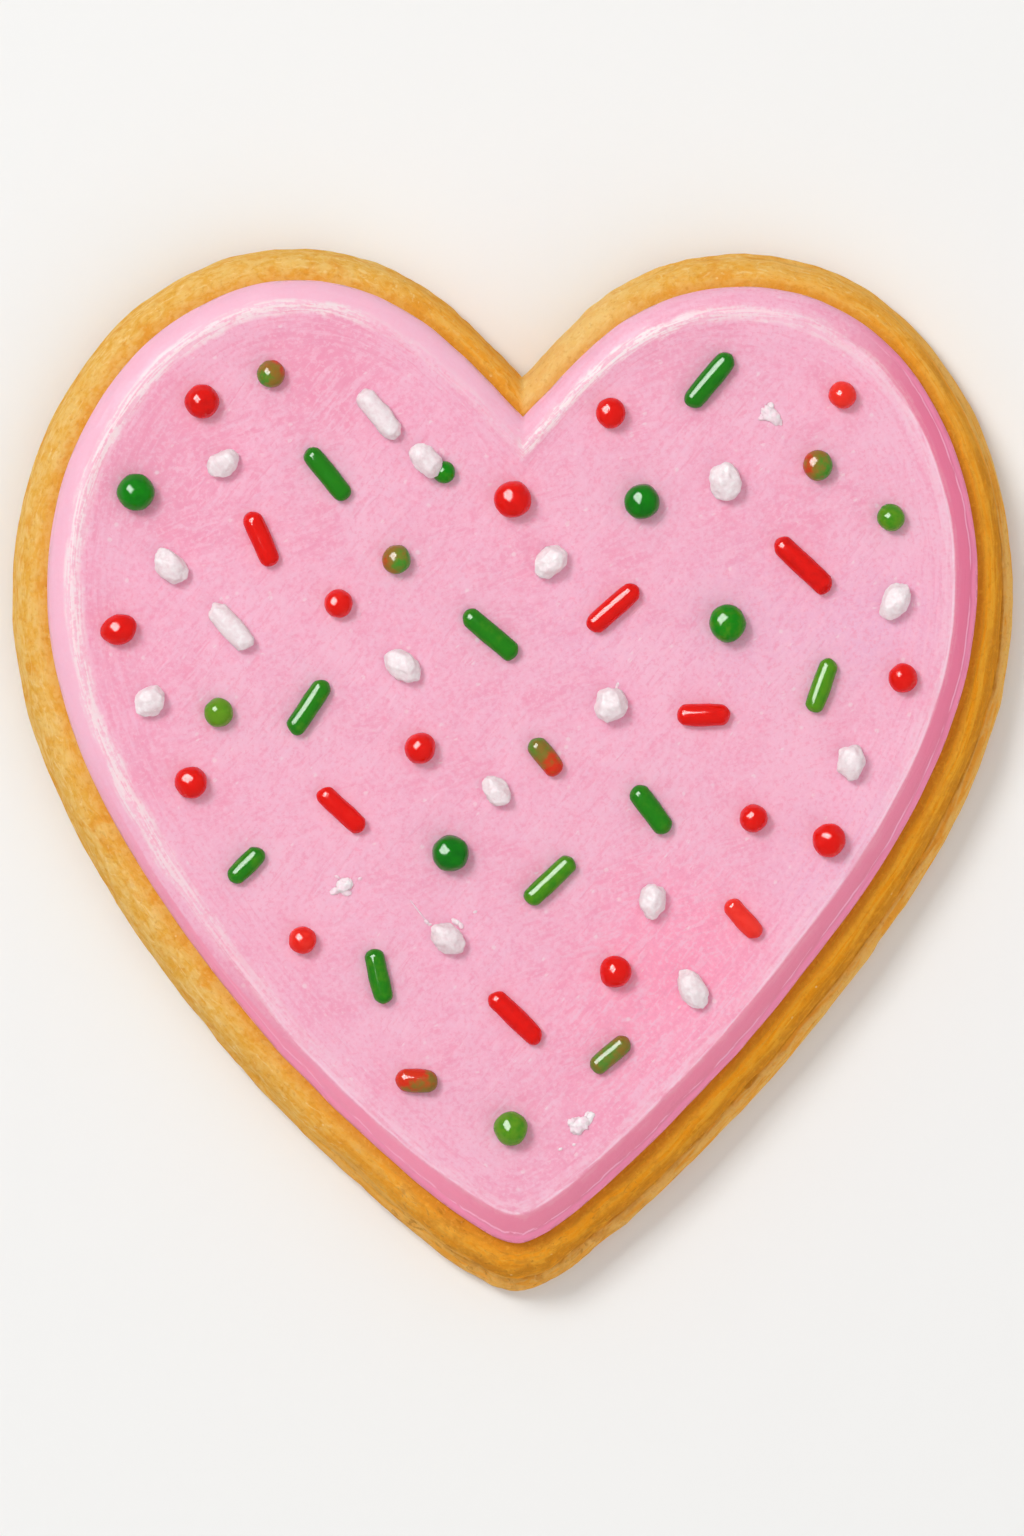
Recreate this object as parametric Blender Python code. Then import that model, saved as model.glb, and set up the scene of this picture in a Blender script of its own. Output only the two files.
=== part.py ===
# Heart sugar cookie: a baked biscuit with a raised icing heart, scattered with sugar pearls,
# rods and small white nuggets. Metres, +Z up, resting on its underside.
import math

import bmesh
import bpy
from mathutils import Matrix, Vector
from mathutils.geometry import interpolate_bezier

MM = 0.001
STEPS = 12  # points of an outline between two knots
BISCUIT_TOP = 7.45
GAP = 0.3  # between biscuit and icing
ICING_FOOT = BISCUIT_TOP + GAP
ICING_CREST = 10.25
ICING_FIELD = 10.0
SUNK = 0.55  # share of a sprinkle's half height that lies in the icing

# Each knot is x, y, angle coming in, its reach, angle going out, its reach, in mm and degrees,
# from the notch over the right lobe.
EDGE = [
    (0.8, 35.5, -46, 8.5, 46, 8.5),
    (20.9, 46.6, 0, 10.5, 0, 12.5),
    (45.1, 16.2, -90, 18, -90, 16),
    (25.5, -25.2, -129.5, 17, -131.5, 11),
    (0.4, -47.0, 180, 4.8, 180, 4.8),
    (-25.9, -25.2, 131, 11, 129.5, 17),
    (-45.1, 15.4, 90, 14, 90, 19),
    (-19.9, 47.0, 0, 12.8, 0, 10),
]
FOOT = [
    (0.9, 31.8, -46, 8, 46, 8.5),
    (20.9, 43.5, 0, 10, 0, 11.5),
    (41.75, 16.8, -90, 16, -90, 15),
    (20.4, -25.2, -130.5, 17, -133, 9),
    (0.35, -42.5, 180, 3.8, 180, 3.8),
    (-21.1, -25.2, 133, 9, 130.5, 17),
    (-41.9, 16.6, 90, 15, 90, 16),
    (-19.6, 44.1, 0, 11, 0, 9.5),
]
CREST = [
    (0.9, 28.7, -46, 7, 46, 7.5),
    (20.8, 41.2, 0, 9.5, 0, 10.5),
    (39.5, 16.8, -90, 14.5, -90, 14.5),
    (18.6, -23.6, -130.5, 17, -133, 9),
    (0.35, -39.6, 180, 3.2, 180, 3.2),
    (-19.3, -23.6, 133, 9, 130.5, 17),
    (-39.6, 16.6, 90, 14.5, 90, 14.5),
    (-19.5, 41.8, 0, 10, 0, 8.5),
]
MIDDLE = Vector((0.0, 14.0))

# How far a ring lies from the biscuit's edge towards the icing's foot, and its height.
BISCUIT_RINGS = [
    (0.32, 0.0),
    (0.1, 0.25),
    (0.0, 0.9),
    (0.0, 3.4),
    (0.05, 4.7),
    (0.17, 5.75),
    (0.38, 6.6),
    (0.66, 7.15),
    (1.0, 7.4),
    (1.3, BISCUIT_TOP),
]
# How far a ring lies from the icing's foot towards its crest, and its height.
ICING_RINGS = [
    (0.06, ICING_FOOT),
    (0.0, 8.05),
    (0.02, 8.5),
    (0.1, 9.0),
    (0.27, 9.5),
    (0.52, 9.95),
    (0.78, 10.18),
    (1.0, ICING_CREST),
]
# Share of the crest's size, and height, of the rings inside the crest.
FIELD_RINGS = [(0.95, 10.2), (0.88, 10.05), (0.82, ICING_FIELD)]

# x, y, width, length and turn, in mm and degrees.
RED_PEARLS = [
    (-27.9, 33.1, 3.06, 3.06, 0),
    (0.0, 24.35, 3.33, 3.33, 0),
    (8.75, 32.1, 2.7, 2.7, 0),
    (29.6, 33.7, 2.5, 2.5, 0),
    (-15.65, 15.0, 2.6, 2.6, 0),
    (-35.4, 12.65, 2.7, 3.33, 18),
    (35.0, 8.3, 2.65, 2.65, 0),
    (-28.9, -1.05, 2.97, 2.97, 0),
    (-8.35, 2.0, 2.88, 2.88, 0),
    (-18.9, -15.25, 2.5, 2.5, 0),
    (9.2, -18.05, 2.88, 2.88, 0),
    (21.6, -4.3, 2.6, 2.6, 0),
    (28.35, -6.25, 3.06, 3.06, 0),
]
GREEN_PEARLS = [
    (-33.85, 24.95, 3.33, 3.33, 0),
    (11.6, 24.15, 3.15, 3.15, 0),
    (19.25, 13.2, 3.33, 3.33, 0),
    (33.95, 22.7, 2.5, 2.5, 0),
    (-5.6, -7.45, 3.33, 3.33, 0),
    (-0.2, -32.15, 3.06, 3.06, 0),
    (-26.45, 5.2, 2.65, 2.65, 0),
    (-6.3, 27.0, 2.25, 2.25, 0),
]
TWO_TONE_PEARLS = [
    (-21.7, 35.6, 2.5, 2.5, 0),
    (-10.45, 18.95, 2.6, 2.6, 0),
    (27.35, 27.4, 2.7, 2.7, 0),
]
RED_RODS = [
    (-22.6, 20.75, 1.9, 5.2, -66),
    (9.0, 14.6, 1.95, 5.7, 41),
    (26.1, 18.4, 2.0, 6.5, -43),
    (17.1, 5.0, 2.05, 4.8, 0),
    (-15.4, -3.55, 1.85, 5.3, -43),
    (0.25, -22.2, 1.9, 6.0, -44),
    (20.7, -13.35, 1.8, 4.2, -48),
]
GREEN_RODS = [
    (-16.65, 26.6, 1.85, 5.7, -51),
    (17.65, 35.05, 2.0, 5.9, 50),
    (-2.0, 12.2, 1.9, 6.0, -40),
    (27.7, 7.6, 1.8, 5.1, 70),
    (-18.35, 5.7, 1.9, 5.6, 56),
    (-23.95, -8.5, 1.85, 4.05, 45),
    (-12.05, -18.5, 1.85, 4.95, -77),
    (12.4, -3.55, 2.0, 5.0, -53),
    (3.35, -9.85, 1.85, 5.75, 44),
]
TWO_TONE_RODS = [
    (2.95, 1.2, 1.95, 3.9, -51),
    (8.75, -25.5, 1.8, 4.3, 40),
    (-8.65, -27.85, 2.15, 3.7, -3),
]
WHITE_RODS = [
    (-12.05, 32.0, 1.8, 5.1, -51),
    (-25.3, 12.85, 1.7, 4.95, -48),
]
WHITE_NUGGETS = [
    (-26.0, 27.6, 2.35, 3.05, 30),
    (-7.75, 27.85, 2.6, 3.4, -45),
    (-30.8, 18.4, 2.5, 3.6, -45),
    (3.35, 18.75, 2.6, 3.35, 40),
    (19.1, 25.95, 2.9, 3.35, 90),
    (-9.9, 9.4, 2.5, 3.8, -45),
    (-32.6, 6.25, 2.6, 3.05, 60),
    (34.3, 15.15, 2.45, 3.7, 62),
    (8.8, 5.9, 2.9, 3.25, 90),
    (30.35, 0.75, 2.7, 3.25, 80),
    (-1.45, -1.85, 2.15, 3.15, -48),
    (12.5, -11.65, 2.5, 3.25, 85),
    (-5.85, -15.1, 2.5, 3.5, -45),
    (16.1, -19.65, 2.35, 3.95, -62),
]
RESTING_ON = {(-7.75, 27.85): 0.55}  # this nugget lies partly on the small green pearl beside it


def clear_scene():
    for obj in list(bpy.data.objects):
        bpy.data.objects.remove(obj, do_unlink=True)


def collection(name, parent=None):
    made = bpy.data.collections.new(name)
    (parent or bpy.context.scene.collection).children.link(made)
    return made


def material(name, colour, roughness):
    made = bpy.data.materials.new(name)
    made.use_nodes = True
    shader = made.node_tree.nodes["Principled BSDF"]
    shader.inputs["Base Color"].default_value = (*colour, 1)
    shader.inputs["Roughness"].default_value = roughness
    made.diffuse_color = (*colour, 1)
    return made


def towards(x, y, angle, reach):
    turn = math.radians(angle)
    return Vector((x + reach * math.cos(turn), y + reach * math.sin(turn)))


def outline(knots):
    points = []
    for here, after in zip(knots, knots[1:] + knots[:1]):
        start = Vector(here[:2])
        leave = towards(here[0], here[1], here[4], here[5])
        arrive = towards(after[0], after[1], after[2], -after[3])
        end = Vector(after[:2])
        points += interpolate_bezier(start, leave, arrive, end, STEPS + 1)[:-1]
    return [Vector(p[:2]) for p in points]


def blend(first, second, share):
    return [a.lerp(b, share) for a, b in zip(first, second)]


def lofted(name, rings, skin, into):
    """A closed body through rings of equal count, from the lowest up, with flat ends."""
    bm = bmesh.new()
    start = [bm.verts.new((p.x * MM, p.y * MM, rings[0][1] * MM)) for p in rings[0][0]]
    count = len(start)
    bm.faces.new(start)
    edges = [bm.edges.get((start[i], start[(i + 1) % count])) for i in range(count)]
    verts = start
    for points, height in rings[1:]:
        grown = bmesh.ops.extrude_edge_only(bm, edges=edges)["geom"]
        fresh = {v for v in grown if isinstance(v, bmesh.types.BMVert)}
        edges = [e for e in grown if isinstance(e, bmesh.types.BMEdge) and set(e.verts) <= fresh]
        verts = [next(e.other_vert(v) for e in v.link_edges if e.other_vert(v) in fresh) for v in verts]
        for vert, point in zip(verts, points):
            vert.co = (point.x * MM, point.y * MM, height * MM)
    bm.faces.new(verts)
    bmesh.ops.recalc_face_normals(bm, faces=bm.faces)
    mesh = bpy.data.meshes.new(name)
    bm.to_mesh(mesh)
    bm.free()
    mesh.materials.append(skin)
    mesh.polygons.foreach_set("use_smooth", [len(p.vertices) == 4 for p in mesh.polygons])
    made = bpy.data.objects.new(name, mesh)
    into.objects.link(made)
    return made


def sprinkle(name, place, height_share, skin, into, rings):
    """A pearl, nugget or round-ended rod, its underside sunk into the icing."""
    x, y, width, length, turn = place
    half = 0.5 * width * height_share
    rod = length > 2 * width or name.startswith(("red_rod", "green_rod", "two_tone_rod", "white_rod"))
    bm = bmesh.new()
    bmesh.ops.create_uvsphere(bm, u_segments=8, v_segments=rings, radius=1)
    if rod:
        radius = 0.5 * width
        straight = 0.5 * length - radius
        bmesh.ops.rotate(bm, verts=bm.verts, matrix=Matrix.Rotation(math.radians(90), 3, "Y"))
        for vert in bm.verts:
            vert.co *= radius
            vert.co.x += math.copysign(straight, vert.co.x)
    else:
        bmesh.ops.scale(bm, verts=bm.verts, vec=(0.5 * length, 0.5 * width, half))
    lift = ICING_FIELD + half * (1 - SUNK) + RESTING_ON.get((x, y), 0)
    bmesh.ops.rotate(bm, verts=bm.verts, matrix=Matrix.Rotation(math.radians(turn), 3, "Z"))
    bmesh.ops.translate(bm, verts=bm.verts, vec=(x, y, lift))
    bmesh.ops.scale(bm, verts=bm.verts, vec=(MM, MM, MM))
    mesh = bpy.data.meshes.new(name)
    bm.to_mesh(mesh)
    bm.free()
    mesh.materials.append(skin)
    mesh.polygons.foreach_set("use_smooth", [True] * len(mesh.polygons))
    made = bpy.data.objects.new(name, mesh)
    into.objects.link(made)


def fuse(body, pieces):
    union = body.modifiers.new("sprinkles", "BOOLEAN")
    union.operation = "UNION"
    union.operand_type = "COLLECTION"
    union.collection = pieces
    union.solver = "EXACT"
    union.material_mode = "TRANSFER"
    graph = bpy.context.evaluated_depsgraph_get()
    joined = bpy.data.meshes.new_from_object(body.evaluated_get(graph))
    body.modifiers.remove(union)
    body.data = joined
    joined.name = body.name
    for piece in list(pieces.objects):
        bpy.data.objects.remove(piece, do_unlink=True)
    bpy.data.collections.remove(pieces)


def main():
    clear_scene()
    cookie = collection("heart_cookie")
    crust = material("biscuit_baked", (0.62, 0.33, 0.09), 0.8)
    pink = material("icing_pink", (0.87, 0.42, 0.56), 0.35)
    red = material("sprinkle_red", (0.72, 0.02, 0.01), 0.25)
    green = material("sprinkle_green", (0.03, 0.26, 0.03), 0.25)
    mixed = material("sprinkle_red_green", (0.3, 0.14, 0.02), 0.25)
    white = material("sprinkle_white", (0.86, 0.82, 0.84), 0.5)

    edge, foot, crest = outline(EDGE), outline(FOOT), outline(CREST)
    lofted("biscuit", [(blend(edge, foot, share), z) for share, z in BISCUIT_RINGS], crust, cookie)
    rings = [(blend(foot, crest, share), z) for share, z in ICING_RINGS]
    rings += [([MIDDLE + (p - MIDDLE) * share for p in crest], z) for share, z in FIELD_RINGS]
    icing = lofted("icing", rings, pink, cookie)

    loose = collection("sprinkles", cookie)
    kinds = (
        ("red_pearl", RED_PEARLS, 1.0, red, 4),
        ("green_pearl", GREEN_PEARLS, 1.0, green, 4),
        ("two_tone_pearl", TWO_TONE_PEARLS, 1.0, mixed, 4),
        ("white_nugget", WHITE_NUGGETS, 0.9, white, 4),
        ("red_rod", RED_RODS, 1.0, red, 5),
        ("green_rod", GREEN_RODS, 1.0, green, 5),
        ("two_tone_rod", TWO_TONE_RODS, 1.0, mixed, 5),
        ("white_rod", WHITE_RODS, 1.0, white, 5),
    )
    for kind, places, height_share, skin, rings_count in kinds:
        for place in places:
            sprinkle(kind, place, height_share, skin, loose, rings_count)
    bpy.context.view_layer.update()
    fuse(icing, loose)


main()
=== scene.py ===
import math
import random

import bmesh
import bpy
from mathutils import Matrix, Vector, noise
from mathutils.bvhtree import BVHTree
from mathutils.geometry import interpolate_bezier


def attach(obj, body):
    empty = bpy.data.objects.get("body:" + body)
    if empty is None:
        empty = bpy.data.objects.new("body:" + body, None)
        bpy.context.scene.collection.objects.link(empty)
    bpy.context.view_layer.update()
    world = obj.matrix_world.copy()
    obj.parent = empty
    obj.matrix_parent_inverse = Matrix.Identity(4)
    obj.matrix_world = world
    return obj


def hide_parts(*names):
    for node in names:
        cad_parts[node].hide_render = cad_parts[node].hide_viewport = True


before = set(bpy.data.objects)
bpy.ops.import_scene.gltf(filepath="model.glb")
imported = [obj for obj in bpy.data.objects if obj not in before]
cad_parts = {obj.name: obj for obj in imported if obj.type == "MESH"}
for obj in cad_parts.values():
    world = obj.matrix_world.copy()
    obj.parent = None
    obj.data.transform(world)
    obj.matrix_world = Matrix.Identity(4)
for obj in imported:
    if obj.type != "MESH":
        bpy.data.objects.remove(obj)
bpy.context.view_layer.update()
mm = 0.001
stepsBetweenKnots = 48
turnRadius = 48.0  # mm, of the circle that patterns are laid round

# Knots of the three heart outlines: x, y, angle coming in, its reach, angle going out, its reach,
# in mm and degrees, from the notch over the right lobe.
heartOutlines = {
    "edge": [
        (0.8, 35.5, -46, 8.5, 46, 8.5),
        (20.9, 46.6, 0, 10.5, 0, 12.5),
        (45.1, 16.2, -90, 18, -90, 16),
        (25.5, -25.2, -129.5, 17, -131.5, 11),
        (0.4, -47.0, 180, 4.8, 180, 4.8),
        (-25.9, -25.2, 131, 11, 129.5, 17),
        (-45.1, 15.4, 90, 14, 90, 19),
        (-19.9, 47.0, 0, 12.8, 0, 10),
    ],
    "foot": [
        (0.9, 31.8, -46, 8, 46, 8.5),
        (20.9, 43.5, 0, 10, 0, 11.5),
        (41.75, 16.8, -90, 16, -90, 15),
        (20.4, -25.2, -130.5, 17, -133, 9),
        (0.35, -42.5, 180, 3.8, 180, 3.8),
        (-21.1, -25.2, 133, 9, 130.5, 17),
        (-41.9, 16.6, 90, 15, 90, 16),
        (-19.6, 44.1, 0, 11, 0, 9.5),
    ],
    "crest": [
        (0.9, 28.7, -46, 7, 46, 7.5),
        (20.8, 41.2, 0, 9.5, 0, 10.5),
        (39.5, 16.8, -90, 14.5, -90, 14.5),
        (18.6, -23.6, -130.5, 17, -133, 9),
        (0.35, -39.6, 180, 3.2, 180, 3.2),
        (-19.3, -23.6, 133, 9, 130.5, 17),
        (-39.6, 16.6, 90, 14.5, 90, 14.5),
        (-19.5, 41.8, 0, 10, 0, 8.5),
    ],
}


def polar(x, y, angle, reach):
    turn = math.radians(angle)
    return Vector((x + reach * math.cos(turn), y + reach * math.sin(turn)))


def heartOutline(name):
    knots = heartOutlines[name]
    points = []
    for here, after in zip(knots, knots[1:] + knots[:1]):
        leave = polar(here[0], here[1], here[4], here[5])
        arrive = polar(after[0], after[1], after[2], -after[3])
        curve = interpolate_bezier(Vector(here[:2]), leave, arrive, Vector(after[:2]), stepsBetweenKnots + 1)
        points += [Vector(p[:2]) for p in curve[:-1]]
    return points


def waves(point, length, depth=3):
    # smooth noise from -1 to 1 whose waves are about this long
    return noise.fractal(point / length, 0.8, 2.1, depth, noise_basis="PERLIN_ORIGINAL")


def aroundTurn(turn, height=0.0):
    return Vector((turnRadius * math.cos(turn), turnRadius * math.sin(turn), height))


def loftHeart(rings, middleDepth=None):
    # each ring is its points, their depth in from the rim in mm, and the function that places one and
    # gives its zone; a middle depth closes the top with a fan of faces, and otherwise one flat face does
    bm = bmesh.new()
    flow = bm.verts.layers.float_vector.new("flow")  # how far round and how far in a point is
    zone = bm.verts.layers.float_vector.new("zone")
    count = len(rings[0][0])
    loop = bmesh.ops.create_circle(bm, segments=count, radius=1)["verts"]
    edges = list(bm.edges)
    for index, (points, across, place) in enumerate(rings):
        if index:
            grown = bmesh.ops.extrude_edge_only(bm, edges=edges)["geom"]
            fresh = {v for v in grown if isinstance(v, bmesh.types.BMVert)}
            edges = [e for e in grown if isinstance(e, bmesh.types.BMEdge) and set(e.verts) <= fresh]
            loop = [next(e.other_vert(v) for e in v.link_edges if e.other_vert(v) in fresh) for v in loop]
        for i, (vert, point) in enumerate(zip(loop, points)):
            turn = 2 * math.pi * i / count
            spot, vert[zone] = place(point, turn)
            vert.co = spot * mm
            depth = across(i) if callable(across) else across
            vert[flow] = aroundTurn(turn, depth) * mm
        if not index:
            bottom = list(edges)
    bmesh.ops.edgeloop_fill(bm, edges=bottom)
    top = bmesh.ops.edgeloop_fill(bm, edges=edges)["faces"]
    if middleDepth:
        centre = bmesh.ops.poke(bm, faces=top)["verts"][0]
        centre[flow] = (0, 0, middleDepth * mm)
    bmesh.ops.recalc_face_normals(bm, faces=bm.faces)
    return bm


def finishPiece(bm, name, material, node):
    mesh = bpy.data.meshes.new(name)
    bm.to_mesh(mesh)
    bm.free()
    mesh.materials.append(material)
    smooth = [len(face.vertices) < 5 for face in mesh.polygons]  # all but the wide flat faces
    mesh.polygons.foreach_set("use_smooth", smooth)
    piece = bpy.data.objects.new(name, mesh)
    bpy.context.scene.collection.objects.link(piece)
    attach(piece, "root")
    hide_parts(node)
    return piece


def addNode(tree, kind, inputs=None, **settings):
    made = tree.nodes.new(kind)
    for name, value in settings.items():
        setattr(made, name, value)
    for socket, value in (inputs or {}).items():
        if isinstance(value, bpy.types.NodeSocket):
            tree.links.new(value, made.inputs[socket])
        else:
            made.inputs[socket].default_value = value
    return made


def grain(tree, where, length, detail=3, stretch=(1, 1, 1), turn=0.0, distortion=0.0):
    # noise whose waves are this many mm long, drawn out by stretch
    scale = tuple(1 / (length * mm * s) for s in stretch)
    mapped = addNode(tree, "ShaderNodeMapping", {"Vector": where, "Rotation": (0, 0, turn)})
    drawn = addNode(tree, "ShaderNodeMapping", {"Vector": mapped.outputs[0], "Scale": scale})
    inputs = {"Vector": drawn.outputs[0], "Scale": 1.0, "Detail": detail, "Roughness": 0.55}
    made = addNode(tree, "ShaderNodeTexNoise", {**inputs, "Distortion": distortion})
    return made.outputs["Fac"]


def cells(tree, where, scale):
    made = addNode(tree, "ShaderNodeTexVoronoi", {"Vector": where, "Scale": scale, "Randomness": 1.0})
    return made.outputs["Distance"]


def span(tree, value, low, high, first=0.0, last=1.0):
    # first below low, last above high, and a smooth step between them
    inputs = {"Value": value, "From Min": low, "From Max": high, "To Min": first, "To Max": last}
    made = addNode(tree, "ShaderNodeMapRange", inputs, interpolation_type="SMOOTHSTEP")
    return made.outputs[0]


def sums(tree, first, second, operation="MULTIPLY"):
    made = addNode(tree, "ShaderNodeMath", {0: first, 1: second}, operation=operation)
    return made.outputs[0]


def banded(tree, value, rise, fall):
    # 1 from the end of the rise to the start of the fall, and 0 outside both
    return sums(tree, span(tree, value, *rise), span(tree, value, fall[1], fall[0]))


def blended(tree, share, first, second):
    made = addNode(tree, "ShaderNodeMix", {0: share, 2: first, 3: second}, data_type="FLOAT")
    return made.outputs[0]


def mixed(tree, share, first, second):
    made = addNode(tree, "ShaderNodeMix", {0: share}, data_type="RGBA")
    for socket, colour in ((6, first), (7, second)):
        if isinstance(colour, bpy.types.NodeSocket):
            tree.links.new(colour, made.inputs[socket])
        else:
            made.inputs[socket].default_value = (*colour, 1)
    return made.outputs[2]


def stacked(tree, *reliefs):
    # one bump from several patterns, each with its depth in mm
    height = 0.0
    for pattern, depth in reliefs:
        added = addNode(tree, "ShaderNodeMath", {0: pattern, 1: depth, 2: height}, operation="MULTIPLY_ADD")
        height = added.outputs[0]
    made = addNode(tree, "ShaderNodeBump", {"Height": height, "Distance": mm, "Strength": 1.0})
    return made.outputs[0]


def newFinish(name, fixed):
    material = bpy.data.materials.new(name)
    material.use_nodes = True
    tree = material.node_tree
    shader = tree.nodes["Principled BSDF"]
    for socket, value in fixed.items():
        shader.inputs[socket].default_value = value
    where = addNode(tree, "ShaderNodeTexCoord").outputs["Object"]
    return material, tree, shader, where


def linked(tree, shader, colour=None, roughness=None, normal=None):
    for socket, value in (("Base Color", colour), ("Roughness", roughness), ("Normal", normal)):
        if value:
            tree.links.new(value, shader.inputs[socket])


biscuitLook = {
    # share of the way from the biscuit's edge to the icing's foot, and height in mm
    "plain": [
        (0.42, 0.0), (0.24, 0.08), (0.09, 0.4), (0.01, 0.95), (0.0, 1.5), (0.0, 2.0),
        (0.01, 2.45), (0.03, 2.8), (0.05, 3.1), (0.07, 3.4), (0.085, 3.7), (0.1, 4.0),
        (0.11, 4.35), (0.13, 4.8), (0.165, 5.3), (0.22, 5.8), (0.3, 6.25), (0.4, 6.65),
        (0.52, 6.98), (0.66, 7.2), (0.81, 7.36), (0.96, 7.43), (1.12, 7.46), (1.3, 7.46),
    ],
    # the same rings where the foot spread in the oven and left a lip round the body
    "lipped": [
        (0.42, 0.0), (0.24, 0.08), (0.09, 0.4), (0.01, 0.9), (0.0, 1.35), (0.01, 1.75),
        (0.04, 2.1), (0.085, 2.36), (0.15, 2.56), (0.22, 2.7), (0.28, 2.76), (0.32, 2.9),
        (0.315, 3.3), (0.305, 3.9), (0.315, 4.6), (0.35, 5.3), (0.4, 5.9), (0.47, 6.4),
        (0.565, 6.82), (0.68, 7.13), (0.82, 7.34), (0.96, 7.42), (1.12, 7.46), (1.3, 7.46),
    ],
    "lipTowards": math.radians(-30),
    "lipSpread": 0.35,  # of the whole lip, a quarter turn from where it lies
    "lipLean": 0.8,  # gained there, and lost on the far side
    "lipUneven": 0.3,
    "creaseRing": 11,
    "creaseWidth": 2.4,  # in rings
    "wobble": 0.16,  # mm, as are the next two
    "creaseWobble": 0.1,
    "topHeight": 6.0,
    "rimWaves": ((0.045, 9.0), (0.03, 2.6)),  # share of the way across, and length in mm
    "roughAbove": 0.8,  # mm
    "pale": (0.85, 0.53, 0.155),
    "gold": (0.8, 0.405, 0.062),
    "tan": (0.88, 0.4, 0.035),
    "orange": (0.88, 0.32, 0.012),
    "blush": (0.77, 0.305, 0.024),
    "chalkAndLight": (0.9, 0.62, 0.25),
    "brown": (0.6, 0.215, 0.016),
    "dark": (0.36, 0.11, 0.006),
    "lip": (0.88, 0.5, 0.135),
}


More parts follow.
